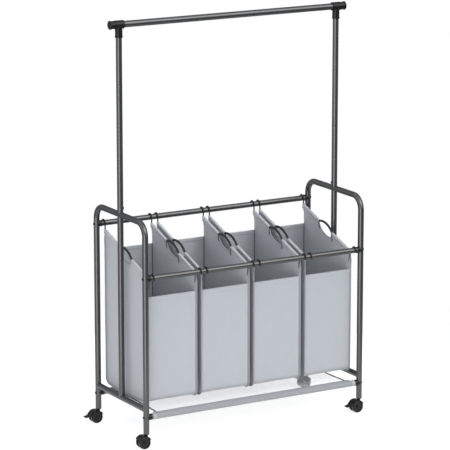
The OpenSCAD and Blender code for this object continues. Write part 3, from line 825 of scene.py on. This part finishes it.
@dataclass
class Bag:
    """One bag with its cloth shell, seam tapes, hems, stitches and two wires."""

    number: int
    wire: WireShape
    cut: BagCut = BagCut()
    cloth: float = 1.2 * MM
    fold_height: float = 0.9 * MM
    tape_width: float = 8 * MM
    tape_half: float = 1.3 * MM
    tape_edge: float = 4 * MM
    hem_radius: float = 5.2 * MM
    hem_depth: float = 17 * MM
    stitch: float = 5 * MM
    grip_radius: float = 4.3 * MM
    tail_stand: float = 2.6 * MM
    tail_half_width: float = 3.0 * MM
    tail_half: float = 0.9 * MM

    def __post_init__(self) -> None:
        """Find the bag's place from the boxes of its wires, and lay out its walls."""
        self.body = f"bag_{self.number}"
        self.planes = {}
        for side in Side:
            low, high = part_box(f"{self.body}_{side.name.lower()}_wire")
            self.planes[side] = (low.x + high.x) / 2
        self.centre = sum(self.planes.values()) / 2
        self.y, self.z, self.above = self.cut.side_lines(self.wire)

    def name(self, part: str) -> str:
        """A piece's name from its part's name."""
        return f"{self.body}_{part}"

    def wall(self, side: Side, lift: float = 0.0) -> np.ndarray:
        """One side wall, moved outwards by lift.

        Its x goes from the seam plane to the wire's plane above the strip, plus a
        belly that is a product of sines, plus folds that die out at the edges.
        """
        cut = self.cut
        share = (self.y - cut.front) / (cut.rear - cut.front)
        rows = np.linspace(0, 1, len(self.above))[:, None]
        dies = np.sin(np.pi * np.clip(share, 0, 1)) * np.sin(np.pi * rows)
        wire_out = abs(self.planes[side] - self.centre) - cut.half_width
        soft = folds(self.y, 0.35 * self.z, 10 * self.number + side.value)
        out = (
            cut.half_width
            + wire_out * smooth(self.above)[:, None]
            + dies * (self.fold_height * soft + cut.wall_belly)
            + lift
        )
        x = self.centre + side.value * out
        return np.stack([x, self.y, self.z], -1)

    def strip_line(self) -> np.ndarray:
        """The strip's line in (y, z): down the front, along the floor, up the rear."""
        low = self.cut.low_rows
        front = np.stack([self.y[:low, 0], self.z[:low, 0]], -1)[::-1]
        floor = np.stack([self.y[0, 1:-1], self.z[0, 1:-1]], -1)
        rear = np.stack([self.y[:low, -1], self.z[:low, -1]], -1)
        return np.concatenate([front, floor, rear])

    def strip(self) -> np.ndarray:
        """Front, floor and rear as one sheet.

        Each row crosses from wall to wall. Its points stand off the line along the
        outward normal by a belly, one less u squared, and by folds that die out at
        the seams, where u is the place across from -1 to 1.
        """
        cut = self.cut
        line = in_plane(self.centre, self.strip_line())
        along = arc_length(line)
        u = np.sin(np.linspace(-np.pi / 2, np.pi / 2, cut.strip_columns))
        low_front = np.hypot(line[:, 1] - cut.front, line[:, 2] - cut.floor)
        low_rear = np.hypot(line[:, 1] - cut.rear, line[:, 2] - cut.floor)
        free = 0.12 + 0.88 * smooth(np.minimum(low_front, low_rear) / cut.corner_calm)
        flat = line[:, 2] < cut.floor + 0.5 * cut.corner
        from_top = np.minimum(along, along[-1] - along)
        belly = np.where(flat, cut.floor_belly, cut.wall_belly) * free
        belly = belly * (0.25 + 0.75 * smooth(from_top / 0.12))
        soft = folds(u[None, :] * cut.half_width, 0.3 * along[:, None], 10 * self.number + 5)
        stand = belly[:, None] + self.fold_height * 0.8 * soft * free[:, None]
        stand = (1 - u**2)[None, :] * stand
        section = np.stack([-stand, np.broadcast_to(cut.half_width * u, stand.shape)], -1)
        return sweep(line, section, X_AXIS)

    def edge_line(self) -> np.ndarray:
        """The side wall's bound edge in (y, z): front edge, floor and rear edge."""
        front = np.stack([self.y[:, 0], self.z[:, 0]], -1)[::-1]
        floor = np.stack([self.y[0, 1:-1], self.z[0, 1:-1]], -1)
        rear = np.stack([self.y[:, -1], self.z[:, -1]], -1)
        return np.concatenate([front, floor, rear])

    def build(self) -> None:
        """Build every piece of the bag except its wires and grips."""
        shell = self.build_shell()
        trims = [*self.build_seam_tapes(), *self.build_hems(), self.build_brim_folds()]
        trims += [self.build_hole_piping(), self.build_webbing_tails(), self.build_painted_crease_shade()]
        trims += [self.build_light_stitches(), self.build_dark_stitches()]

    def build_shell(self) -> bpy.types.Object:
        """The bag's cloth as one welded shell with its thickness."""
        walls = [
            Patch(self.wall(side), np.stack([self.y, self.z], -1)) for side in Side
        ]
        line = in_plane(0.0, self.strip_line())
        u = np.sin(np.linspace(-np.pi / 2, np.pi / 2, self.cut.strip_columns))
        strip_uv = np.stack(np.meshgrid(self.cut.half_width * u, arc_length(line)), -1)
        shell = piece_from(
            self.name("cloth"),
            [*walls, Patch(self.strip(), strip_uv)],
            BAG_CLOTH,
            self.body,
            weld=True,
        )
        wall = shell.modifiers.new("cloth thickness", "SOLIDIFY")
        wall.thickness = self.cloth
        wall.offset = 0.0
        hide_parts(f"{self.body}_fabric")
        return shell

    def build_seam_tapes(self) -> list[bpy.types.Object]:
        """A folded tape round each side wall's seam.

        The tape is a flat oval section. Along the strip it stands out between the two
        walls at 45 degrees; above the strip it turns into the side wall's plane.
        """
        made = []
        for side in Side:
            path, tilt, width = self.tape_run(side)
            section = self.tape_section(tilt, width) * [1, side.value]
            grid = sweep(path, section, X_AXIS)
            uv = cloth_uv(path, np.concatenate([section[0], section[0][:1]])[:-1])
            made.append(
                piece_from(
                    self.name(f"seam_tape_{side.name.lower()}"),
                    [Patch(grid, uv, closed=True, capped=True)],
                    SEAM_TAPE,
                    self.body,
                )
            )
        return made

    def tape_run(self, side: Side) -> tuple[np.ndarray, np.ndarray, np.ndarray]:
        """A seam tape's path, its tilt out of the wall's plane, and its width."""
        line = self.edge_line()
        rows = len(self.above)
        up = np.concatenate([self.above[::-1], np.zeros(len(line) - 2 * rows), self.above])
        plane = abs(self.planes[side] - self.centre)
        x = self.cut.half_width + (plane - self.cut.half_width) * smooth(up)
        path = np.concatenate([(self.centre + side.value * x)[:, None], line], axis=1)
        tilt = np.radians(45) - np.radians(38) * smooth((up - 0.45) / 0.55)
        width = self.tape_width + (self.tape_edge - self.tape_width) * smooth((up - 0.4) / 0.6)
        return path, tilt, width

    def tape_section(self, tilt: np.ndarray, width: np.ndarray) -> np.ndarray:
        """Flat ovals: a superellipse of each width, turned by each tilt."""
        turn = np.linspace(0, 2 * np.pi, 14, endpoint=False)
        along = np.sign(np.cos(turn)) * np.abs(np.cos(turn)) ** 0.5
        thick = np.sign(np.sin(turn)) * np.abs(np.sin(turn)) ** 0.7 * self.tape_half
        reach = (along + 1)[None, :] / 2 * (width[:, None] + 1.5 * MM) - 1.5 * MM
        cos, sin = np.cos(tilt)[:, None], np.sin(tilt)[:, None]
        return np.stack([reach * cos - thick * sin, reach * sin + thick * cos], -1)

    def build_hems(self) -> list[bpy.types.Object]:
        """The cloth turned over the wire, from each hook to the handle.

        The section is a drop: most of a circle about the wire, drawn in to a flat
        tail that lies on both faces of the wall. It puckers with the stitches.
        """
        made = []
        forward, up = self.wire.hem_forward, self.wire.hem_up
        rear_start = self.wire.hem_rear - forward * 3 * MM + up * 1 * MM
        front_end = self.wire.hem_front - forward * 12 * MM
        runs = (
            (rear_start, self.wire.handle_end(False)),
            (self.wire.handle_end(True), front_end),
        )
        for side in Side:
            patches = []
            for start, end in runs:
                flat = start + np.linspace(0, 1, 46)[:, None] * (end - start)
                path = in_plane(self.planes[side], flat)
                at = arc_length(path)
                ends = np.minimum(at, at[-1] - at)
                pucker = 1 + 0.05 * np.sin(2 * np.pi * at / (9 * MM))
                pucker = pucker - 0.16 * np.exp(-ends / (4 * MM))
                section = self.drop_section()[None] * pucker[:, None, None]
                uv = cloth_uv(path, section[0])
                patches.append(Patch(sweep(path, section, X_AXIS), uv, closed=True, capped=True))
            made.append(
                piece_from(
                    self.name(f"hem_{side.name.lower()}"), patches, BAG_CLOTH, self.body
                )
            )
        return made

    def drop_section(self) -> np.ndarray:
        """A drop: a circle's upper part and a tail of the cloth's doubled thickness."""
        turn = np.radians(np.linspace(-38, 218, 15))
        top = self.hem_radius * np.stack([np.sin(turn), np.cos(turn)], -1)
        down = np.linspace(0.45, 1, 5)
        half = 1.5 * MM + (self.hem_radius - 1.5 * MM) * (1 - smooth((down - 0.1) / 0.7)) * 0.7
        left = np.stack([-self.hem_depth * down, -half], -1)
        right = np.stack([-self.hem_depth * down, half], -1)[::-1]
        return np.concatenate([top, left, right])

    def build_brim_folds(self) -> bpy.types.Object:
        """The strip's ends turned in: a second layer inside the front and rear brims."""
        grid = self.strip()
        depth = {0: 10 * MM, -1: 13 * MM}
        patches = []
        for end, reach in depth.items():
            rows = grid if end == 0 else grid[::-1]
            top, down = rows[0], rows[3] - rows[0]
            down = down / np.linalg.norm(down, axis=1, keepdims=True)
            inward = np.array([0.0, 1.0 if end == 0 else -1.0, 0.0])
            steps = np.linspace(0, reach, 5)
            sheet = top[None] + down[None] * steps[:, None, None] + inward * 1.1 * MM
            uv = np.stack(np.meshgrid(grid[0, :, 0], steps), -1)
            patches.append(Patch(sheet[:, 1:-1], uv[:, 1:-1]))
        made = piece_from(
            self.name("brim_folds"), patches, BAG_CLOTH, self.body
        )
        wall = made.modifiers.new("fold thickness", "SOLIDIFY")
        wall.thickness = 1.0 * MM
        wall.offset = 0.0
        return made

    def hole_line(self, side: Side) -> np.ndarray:
        """The hand hole's dipped edge, from its front end to its rear end."""
        ends = sorted([self.wire.handle_end(True)[0], self.wire.handle_end(False)[0]])
        row = self.wall(side)[-1]
        inside = (row[:, 1] > ends[0] - 3.4 * MM) & (row[:, 1] < ends[1] + 3.4 * MM)
        return row[inside]

    def build_hole_piping(self) -> bpy.types.Object:
        """Round piping along both hand holes' dipped edges."""
        patches = []
        for side in Side:
            path = spaced(self.hole_line(side), 3 * MM)
            section = circle(1.0, 10) * [2.1 * MM, 2.0 * MM]
            uv = cloth_uv(path, section)
            patches.append(Patch(sweep(path, section, X_AXIS), uv, closed=True, capped=True))
        return piece_from(self.name("hole_piping"), patches, SEAM_TAPE, self.body)

    def build_webbing_tails(self) -> bpy.types.Object:
        """Short webbing tails on the walls' inner faces, at the handle and the ears."""
        patches = []
        wire = self.wire
        for side in Side:
            inward = -side.value
            marks = [
                (wire.handle_end(False) + [-2 * MM, 2 * MM], 30 * MM, 0.0),
                (wire.handle_end(True), 32 * MM, 0.04),
                (wire.hem_front + [14 * MM, 0], 34 * MM, 0.16),
            ]
            for top, length, lean in marks:
                down = np.array([lean, -1.0]) / math.hypot(lean, 1)
                share = np.linspace(0, 1, 9)
                plane = self.planes[side] + inward * self.tail_stand
                path = in_plane(plane, top + share[:, None] * down * length)
                taper = 1 - 0.25 * share**2
                halves = np.stack([self.tail_half_width * taper, self.tail_half * taper], -1)
                section = circle(1.0, 12)[None] * halves[:, None, :]
                uv = cloth_uv(path, section[0])
                patches.append(Patch(sweep(path, section, X_AXIS), uv, closed=True, capped=True))
        return piece_from(self.name("webbing_tails"), patches, DARK_TAPE_AND_CREASE_SHADE, self.body)

    def build_painted_crease_shade(self) -> bpy.types.Object:
        """Painted crease shade: dark tubes inside the bag along both seams, down the front, along the
        floor and up each rear corner, where the creases are in shade.
        """
        line = self.strip_line()
        patches = []
        for side in Side:
            path = in_plane(self.centre + side.value * (self.cut.half_width - 1.4 * MM), line)
            section = circle(1.5 * MM, 8) - [1.4 * MM, 0.0]
            grid = sweep(path, section, X_AXIS)
            patches.append(Patch(grid, cloth_uv(path, section), closed=True, capped=True))
        # Painted crease shade: one dark tube inside each seam.
        return piece_from(self.name("painted_crease_shade"), patches, DARK_TAPE_AND_CREASE_SHADE, self.body)

    def build_light_stitches(self) -> bpy.types.Object:
        """Rows of stitches along the brims and hems, on both faces."""
        grid = self.strip()
        patches = []
        for rows, depth in ((grid, 10 * MM), (grid[::-1], 13 * MM)):
            down = (rows[3] - rows[0]) / np.linalg.norm(rows[3] - rows[0], axis=1, keepdims=True)
            line = (rows[0] + down * (depth - 1.5 * MM))[1:-1]
            outward = np.array([0.0, np.sign(rows[0, 0, 1]), 0.0])
            patches.append(stitches(line + outward * 0.7 * MM, outward, self.stitch, 0.6))
            patches.append(stitches(line - outward * 1.7 * MM, -outward, self.stitch, 0.6))
        forward, up = self.wire.hem_forward, self.wire.hem_up
        runs = (
            (self.wire.hem_rear + forward * 6 * MM, self.wire.handle_end(False) - forward * 3 * MM),
            (self.wire.handle_end(True) + forward * 3 * MM, self.wire.hem_front - forward * 16 * MM),
        )
        for side in Side:
            for start, end in runs:
                flat = np.linspace(0, 1, 20)[:, None] * (end - start) + start - up * 15 * MM
                for face in (-1, 1):
                    path = in_plane(self.planes[side] + face * 1.8 * MM, flat)
                    patches.append(stitches(path, X_AXIS * face, self.stitch, 0.6))
        return piece_from(self.name("light_stitches"), patches, LIGHT_THREAD, self.body)

    def build_dark_stitches(self) -> bpy.types.Object:
        """Rows of stitches along the seam tapes, on both faces."""
        patches = []
        for side in Side:
            path, tilt, width = self.tape_run(side)
            mirror = [1, side.value]
            along = np.stack([np.cos(tilt), np.sin(tilt)], -1) * mirror
            out = np.stack([-np.sin(tilt), np.cos(tilt)], -1) * mirror
            for face in (-1, 1):
                middle = 0.55 * width[:, None] * along + face * 0.9 * self.tape_half * out
                line = sweep(path, middle[:, None, :], X_AXIS)[:, 0]
                away = sweep(path, face * MM * out[:, None, :], X_AXIS)[:, 0] - path
                away /= np.linalg.norm(away, axis=1, keepdims=True)
                patches.append(stitches(line, away, self.stitch, 0.6))
        return piece_from(self.name("dark_stitches"), patches, DARK_THREAD, self.body)

    def build_wires(self) -> None:
        """Both wires as smooth round rods with domed ends."""
        line = self.wire.line()
        for side in Side:
            path = in_plane(self.planes[side], line)
            tips = np.stack([2 * path[0] - path[1], path[-1] * 2 - path[-2]])
            first = path[0] + (tips[0] - path[0]) / np.linalg.norm(tips[0] - path[0]) * 0.8 * MM
            last = path[-1] + (tips[1] - path[-1]) / np.linalg.norm(tips[1] - path[-1]) * 0.8 * MM
            path = np.concatenate([[first], path, [last]])
            radius = np.full(len(path), self.wire.radius)
            radius[[0, -1]] *= 0.62
            section = circle(1.0, 20)[None] * radius[:, None, None]
            made = piece_from(
                f"{self.body}_wire_{side.name.lower()}",
                [Patch(sweep(path, section, X_AXIS), closed=True, capped=True)],
                WIRE_COAT,
                self.body,
            )
            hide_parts(f"{self.body}_{side.name.lower()}_wire")
            self.build_grip(side, line)

    def build_grip(self, side: Side, line: np.ndarray) -> None:
        """A soft sleeve over the handle's arch, rounded in at both ends."""
        front, rear = self.wire.handle_end(True), self.wire.handle_end(False)
        above = (line - rear) @ self.wire.hem_up > 0.5 * MM
        along = (line - rear) @ self.wire.hem_forward
        on_handle = above & (along > 0) & (along < np.linalg.norm(front - rear))
        path = spaced(in_plane(self.planes[side], line[on_handle]), 3 * MM)
        at = arc_length(path)
        ends = np.minimum(at, at[-1] - at)
        radius = self.grip_radius - 1.2 * MM * np.exp(-ends / (1.5 * MM))
        section = circle(1.0, 18)[None] * radius[:, None, None]
        piece_from(
            f"{self.body}_grip_{side.name.lower()}",
            [Patch(sweep(path, section, X_AXIS), closed=True, capped=True)],
            GRIP_FOAM,
            self.body,
        )


# ---- Shelf ----


@dataclass
class NetShelf:
    """The net shelf: knotted strands, bound ends, and sleeves sewn round the bars."""

    pitch: float = 5.0 * MM
    strand_half: float = 0.28 * MM
    strand_thin: float = 0.11 * MM
    sag: float = 6 * MM
    waist: float = 7 * MM
    band_half: float = 4 * MM
    sleeve_tail: float = 9 * MM

    def __post_init__(self) -> None:
        """Read the net's and the bars' places."""
        self.low, self.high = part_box("shelf_net")
        self.level = (self.low.z + self.high.z) / 2
        self.reach = self.high.x + 2 * MM
        bar_low, bar_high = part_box("front_lower_bar")
        self.bar_z = (bar_low.z + bar_high.z) / 2
        self.bar_y = abs(bar_low.y + bar_high.y) / 2
        self.depth = self.bar_y - 9 * MM
        sleeve_low, sleeve_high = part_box("shelf_sleeves")
        self.sleeve_end = sleeve_high.x
        self.sleeve_radius = (sleeve_high.z - sleeve_low.z) / 2

    def half_length(self, y: np.ndarray) -> np.ndarray:
        """Half the net's length at y: the bound ends draw in by a parabola."""
        return self.reach - self.waist * (1 - (y / self.depth) ** 2)

    def height(self, u: np.ndarray, v: np.ndarray) -> np.ndarray:
        """Height of the net: its level less a sag of (1 - u squared)(1 - v squared)."""
        return self.level - self.sag * (1 - u**2) * (1 - v**2)

    def strands(self, lengthwise: bool) -> Patch:
        """Every strand of one direction as one grid, folded into thin flat tubes.

        A strand is a flat four-cornered tube. Each point is at u times the half
        length and v times the depth, with the corner's offset added.
        """
        span = 2 * self.depth if lengthwise else 2 * self.reach
        count = int(span / self.pitch)
        fixed = np.linspace(-1, 1, count + 2)[1:-1]
        run = np.linspace(-1, 1, 31 if lengthwise else 15)
        u, v = (run[None, :], fixed[:, None]) if lengthwise else (fixed[:, None], run[None, :])
        u, v = np.broadcast_arrays(u, v)
        y = v * self.depth
        x = u * self.half_length(y)
        corners = np.array([[-1, -1], [1, -1], [1, 1], [-1, 1]])
        side = corners[:, 0] * self.strand_half
        points = np.stack([x, y, self.height(u, v)], -1)[:, :, None, :].repeat(4, axis=2)
        points[..., 1 if lengthwise else 0] += side
        points[..., 2] += corners[:, 1] * self.strand_thin
        return points

    def build(self) -> None:
        """Build the net, its bound ends and the sleeves."""
        patches = [
            Patch(strand, closed=True, capped=True)
            for lengthwise in (True, False)
            for strand in self.strands(lengthwise)
        ]
        net = piece_from("shelf_net_strands", patches, NET_YARN, FRAME_BODY)
        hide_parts("shelf_net")
        bound = self.build_bound_ends()
        sleeves = self.build_sleeves()

    def build_bound_ends(self) -> bpy.types.Object:
        """Tape folded over both ends of the net, drawn in between the bars."""
        v = np.linspace(-1, 1, 41)
        y = v * (self.depth + 2 * MM)
        patches = []
        turn = np.linspace(0, 2 * np.pi, 14, endpoint=False)
        oval = np.stack(
            [
                np.sign(np.cos(turn)) * np.abs(np.cos(turn)) ** 0.5 * self.band_half,
                np.sign(np.sin(turn)) * np.abs(np.sin(turn)) ** 0.7 * 1.2 * MM,
            ],
            -1,
        )
        for side in Side:
            x = side.value * (self.half_length(v * self.depth) + 1 * MM)
            path = np.stack([x, y, np.full_like(v, self.level)], -1)
            grid = sweep(path, oval, np.array([0.0, 0.0, 1.0]))
            patches.append(Patch(grid, cloth_uv(path, oval), closed=True, capped=True))
        made = piece_from("shelf_bound_ends", patches, DARK_TAPE_AND_CREASE_SHADE, FRAME_BODY)
        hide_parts("shelf_bindings")
        return made

    def build_sleeves(self) -> list[bpy.types.Object]:
        """Cloth sleeves round both bars, each closed along its inner side.

        The section is a drop: a circle round the bar that draws in to a flat tail at
        the net. Slow waves along the bar make it cling and gather.
        """
        turn = np.radians(np.linspace(48, 312, 31))
        ring = np.stack([np.cos(turn), np.sin(turn)], -1) * self.sleeve_radius
        rise = self.level - self.bar_z
        tail = np.array(
            [
                [self.sleeve_radius + 1 * MM, rise - 1.6 * MM],
                [self.sleeve_radius + self.sleeve_tail, rise - 1.0 * MM],
                [self.sleeve_radius + self.sleeve_tail, rise + 1.0 * MM],
                [self.sleeve_radius + 1 * MM, rise + 1.6 * MM],
            ]
        )
        outline = np.concatenate([ring, tail])
        made = []
        for name, sign in (("front", -1), ("rear", 1)):
            x = np.linspace(-self.sleeve_end, self.sleeve_end, 161)
            path = np.stack([x, np.full_like(x, sign * self.bar_y), np.full_like(x, self.bar_z)], -1)
            cling = 1 + 0.012 * folds(x, np.zeros_like(x), 70 + sign)
            section = outline[None] * cling[:, None, None]
            across = np.array([0.0, 0.0, 1.0])
            section = section * [sign, 1]
            grid = sweep(path, section, across)
            sleeve = piece_from(
                f"shelf_sleeve_{name}",
                [Patch(grid, cloth_uv(path, outline), closed=True, capped=True)],
                SLEEVE_CLOTH,
                FRAME_BODY,
            )
            made.append(sleeve)
        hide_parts("shelf_sleeves")
        return made


# ---- Frame and casters ----


@dataclass(frozen=True)
class Dressing:
    """Which finish each family of carried-over nodes takes, by words in its name."""

    words: tuple[str, ...]
    finish: Finish

    def fits(self, node: str) -> bool:
        """Tell whether a node's name holds one of the words."""
        return any(word in node for word in self.words)


DRESSINGS = (
    Dressing(("caster_housing", "wheel_", "brake_lever"), CASTER_NYLON),
    Dressing(("caster_stems", "thread_inserts"), BRIGHT_ZINC),
    Dressing(("bar_bolts", "post_screws", "axle", "brake_pin"), BLACK_ZINC),
    Dressing(("collars", "tee_connector", "end_caps", "leg_inserts"), BLACK_FITTING),
    Dressing(("end_rings",), PALE_RING),
    Dressing(("hanging_rail",), RAIL_COAT),
    Dressing(("loop", "cross_tube", "post", "bar", "spigots"), TUBE_COAT),
)


def dress_nodes() -> None:
    """Give every carried-over node that still shows its finish."""
    for name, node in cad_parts.items():
        if node.hide_render:
            continue
        finish = next(d.finish for d in DRESSINGS if d.fits(name))
        if not node.material_slots:
            node.data.materials.append(None)
        for held in node.material_slots:
            held.material = finish.material()
        log.info("%s: %s", name, finish.name)


# ---- Studio ----


@dataclass(frozen=True)
class Glow:
    """A soft bright patch of the surroundings, as a large lit screen gives.

    Attributes:
        azimuth: Where it stands, in degrees; 0 is in front, + is to the right.
        height: Degrees above the floor.
        core: Half its fully bright width, in degrees.
        reach: Where it has faded out, in degrees from its middle.
        power: Its brightness over the even light.
    """

    azimuth: float
    height: float
    core: float
    reach: float
    power: float

    def towards(self) -> tuple[float, float, float]:
        """The unit vector from the object to the glow's middle."""
        azimuth, height = math.radians(self.azimuth), math.radians(self.height)
        flat = math.cos(height)
        return flat * math.sin(azimuth), -flat * math.cos(azimuth), math.sin(height)


@dataclass(frozen=True)
class Studio:
    """Floor, light and camera."""

    place: tuple[float, float, float] = (-4.91218, -8.42296, 2.95351)
    azimuth: float = -30.15
    elevation: float = 12.82
    lens: float = 217.1
    even: float = 0.34
    even_colour: str = "#eef4ff"
    glows: tuple[Glow, ...] = (
        Glow(azimuth=24, height=38, core=6, reach=34, power=4.0),
        Glow(azimuth=-50, height=-10, core=3, reach=24, power=3.8),
        Glow(azimuth=-95, height=25, core=10, reach=75, power=0.75),
        Glow(azimuth=0, height=88, core=15, reach=60, power=0.6),
    )
    floor_radius: float = 1.3
    sun_azimuth: float = -25.0
    sun_height: float = 42.0
    sun_spread: float = 30.0
    sun_power: float = 0.5
    world_white: tuple[float, float, float, float] = (1.0, 1.0, 1.0, 1.0)

    def build_camera(self) -> None:
        """A long lens from the front left, a little above the bags."""
        data = bpy.data.cameras.new("studio_camera")
        data.lens = self.lens
        data.sensor_width = 36.0
        data.clip_end = 200.0
        made = bpy.data.objects.new("studio_camera", data)
        made.location = self.place
        made.rotation_euler = Euler(
            (math.radians(90 - self.elevation), 0.0, math.radians(self.azimuth))
        )
        bpy.context.scene.collection.objects.link(made)
        bpy.context.scene.camera = made

    def build_floor(self) -> None:
        """A round matt floor that gives off a little light."""
        rim = circle(self.floor_radius, 96)
        mesh = bpy.data.meshes.new("studio_floor")
        points = np.concatenate([rim, np.zeros((len(rim), 1))], axis=1)
        mesh.from_pydata(points.tolist(), [], [list(range(len(rim)))])
        mesh.materials.append(STUDIO_FLOOR.material())
        made = bpy.data.objects.new("studio_floor", mesh)
        bpy.context.scene.collection.objects.link(made)

    def build_sun(
        self, name: str, azimuth: float, height: float, spread: float, power: float
    ) -> None:
        """A soft far light.

        Args:
            name: The light's name.
            azimuth: Where it stands, in degrees; 0 is in front, + is to the right.
            height: Degrees above the floor.
            spread: How wide it looks, in degrees.
            power: Its strength.
        """
        data = bpy.data.lights.new(name, "SUN")
        data.energy = power
        data.angle = math.radians(spread)
        made = bpy.data.objects.new(name, data)
        made.rotation_euler = Euler((math.radians(90 - height), 0.0, math.radians(azimuth)))
        bpy.context.scene.collection.objects.link(made)

    def build_world(self) -> None:
        """Surroundings with a cool even light and the glows added to it; seen as white."""
        world = bpy.data.worlds.new("studio_world")
        world.use_nodes = True
        tree = world.node_tree
        tree.nodes.clear()
        way = add_node(tree, "ShaderNodeTexCoord").outputs["Generated"]
        even = add_node(
            tree, "ShaderNodeBackground", {"Color": linear(self.even_colour), "Strength": self.even}
        )
        total = add_node(tree, "ShaderNodeValue").outputs[0]
        total.default_value = 0.0
        for glow in self.glows:
            facing = add_node(
                tree,
                "ShaderNodeVectorMath",
                {"operation": "DOT_PRODUCT", 1: glow.towards()},
                {0: way},
            )
            share = add_node(
                tree,
                "ShaderNodeMapRange",
                {
                    "interpolation_type": "SMOOTHSTEP",
                    "From Min": math.cos(math.radians(glow.reach)),
                    "From Max": math.cos(math.radians(glow.core)),
                    "To Max": glow.power,
                },
                {"Value": facing.outputs["Value"]},
            )
            total = add_node(
                tree,
                "ShaderNodeMath",
                {"operation": "ADD"},
                {0: total, 1: share.outputs["Result"]},
            ).outputs[0]
        bright = add_node(
            tree, "ShaderNodeBackground", {"Color": self.world_white}, {"Strength": total}
        )
        lit = add_node(
            tree, "ShaderNodeAddShader", links={0: even.outputs[0], 1: bright.outputs[0]}
        )
        seen = add_node(
            tree, "ShaderNodeBackground", {"Color": self.world_white, "Strength": 1.0}
        )
        straight = add_node(tree, "ShaderNodeLightPath").outputs["Is Camera Ray"]
        both = add_node(
            tree,
            "ShaderNodeMixShader",
            links={0: straight, 1: lit.outputs[0], 2: seen.outputs[0]},
        )
        add_node(tree, "ShaderNodeOutputWorld", links={"Surface": both.outputs[0]})
        bpy.context.scene.world = world

    def build(self) -> None:
        """Build the whole studio."""
        self.build_camera()
        self.build_floor()
        self.build_world()
        self.build_sun(
            "key_light", self.sun_azimuth, self.sun_height, self.sun_spread, self.sun_power
        )
        bpy.context.scene.view_settings.view_transform = "Standard"
        log.info("studio: floor, light and camera")


def main() -> None:
    """Build the studio, the bags and the shelf, then dress the rest."""
    logging.basicConfig(level=logging.INFO, format="%(message)s")
    Studio().build()
    rear_low, rear_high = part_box("rear_upper_bar")
    front_low, front_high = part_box("front_upper_bar")
    wire = WireShape(
        rear_bar=((rear_low.y + rear_high.y) / 2, (rear_low.z + rear_high.z) / 2),
        front_bar=((front_low.y + front_high.y) / 2, (front_low.z + front_high.z) / 2),
        bar_radius=(rear_high.z - rear_low.z) / 2,
    )
    for number in range(1, 5):
        bag = Bag(number, wire)
        bag.build_wires()
        bag.build()
    NetShelf().build()
    dress_nodes()


if __name__ == "__main__":
    main()
